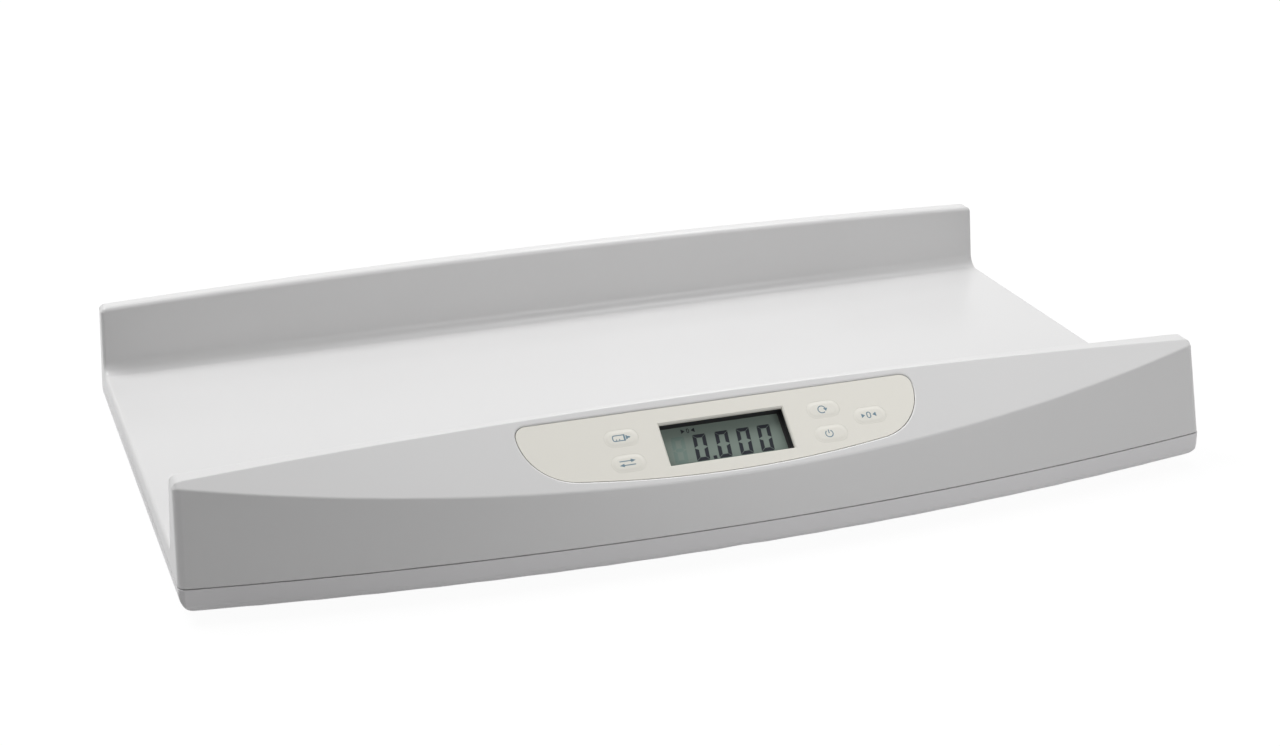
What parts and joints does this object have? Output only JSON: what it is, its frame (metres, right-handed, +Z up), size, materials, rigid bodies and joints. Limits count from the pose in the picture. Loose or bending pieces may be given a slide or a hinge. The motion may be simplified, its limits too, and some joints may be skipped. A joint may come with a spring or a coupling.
{
  "type": "digital baby weighing scale",
  "caption": "Digital baby weighing scale: channel-shaped moulded platform with two crowned walls, a bow-fronted console with tilted display panel and push keys, rubber feet and battery bay.",
  "frame": {"origin": "centre of the bounding box at the table, under the rubber feet", "axes": "+X along the length, towards the right when facing the display; +Y from the console towards the rear wall; +Z up"},
  "size_m": [0.55, 0.305, 0.073],
  "materials": {
    "shell_white": "satin moulded",
    "base_white": "satin moulded",
    "panel_cream": "smooth satin",
    "key_cream": "smooth satin",
    "frame_black": "matte",
    "lcd_grey_green": "matte polariser",
    "strip_rubber": "matte",
    "board_green": "solder mask",
    "component_black": "matte",
    "screw_steel": "zinc plated",
    "contact_steel": "nickel plated",
    "cell_steel": "bare",
    "clamp_black": "matte",
    "foot_plastic": "matte",
    "foot_rubber": "matte",
    "battery_jacket": "plain jacket",
    "lead_black": "smooth",
    "lead_red": "smooth"
  },
  "bodies": {
    "scale_body": {"top_shell": "shell_white", "bottom_shell": "base_white", "control_panel": "panel_cream", "lcd_light_frame": "frame_black", "lcd_glass": "lcd_grey_green", "lcd_zebra_strips": "strip_rubber", "main_board": "board_green", "board_components": "component_black", "board_screws": "screw_steel", "key_domes": "contact_steel", "load_cells": "cell_steel", "load_cell_clamps": "clamp_black", "clamp_screws": "screw_steel", "foot_cups": "foot_plastic", "foot_pads": "foot_rubber", "batteries": "battery_jacket", "battery_contacts": "contact_steel", "shell_screws": "screw_steel", "cell_leads": "lead_black", "battery_leads": "lead_red"},
    "feed_key": {"key_feed": "key_cream"},
    "unit_key": {"key_unit": "key_cream"},
    "reweigh_key": {"key_reweigh": "key_cream"},
    "power_key": {"key_power": "key_cream"},
    "zero_key": {"key_zero": "key_cream"},
    "battery_cover": {"battery_door": "base_white", "battery_door_screw": "screw_steel"}
  },
  "joints": [
    {"name": "feed_key_press", "type": "slide", "parent": "scale_body", "child": "feed_key", "axis": [0, 0.6184, -0.7859], "range_m": [0, 0.0004], "stiffness_N_per_m": 100, "springref_m": -0.00015},
    {"name": "unit_key_press", "type": "slide", "parent": "scale_body", "child": "unit_key", "axis": [0, 0.6184, -0.7859], "range_m": [0, 0.0004], "stiffness_N_per_m": 100, "springref_m": -0.00015},
    {"name": "reweigh_key_press", "type": "slide", "parent": "scale_body", "child": "reweigh_key", "axis": [0, 0.6184, -0.7859], "range_m": [0, 0.0004], "stiffness_N_per_m": 100, "springref_m": -0.00015},
    {"name": "power_key_press", "type": "slide", "parent": "scale_body", "child": "power_key", "axis": [0, 0.6184, -0.7859], "range_m": [0, 0.0004], "stiffness_N_per_m": 100, "springref_m": -0.00015},
    {"name": "zero_key_press", "type": "slide", "parent": "scale_body", "child": "zero_key", "axis": [0, 0.6184, -0.7859], "range_m": [0, 0.0004], "stiffness_N_per_m": 100, "springref_m": -0.00015},
    {"name": "battery_door_hinge", "type": "hinge", "parent": "scale_body", "child": "battery_cover", "pos_m": [0, 0.0125, 0.0082], "axis": [-1, 0, 0], "range_deg": [0, 85]}
  ]
}
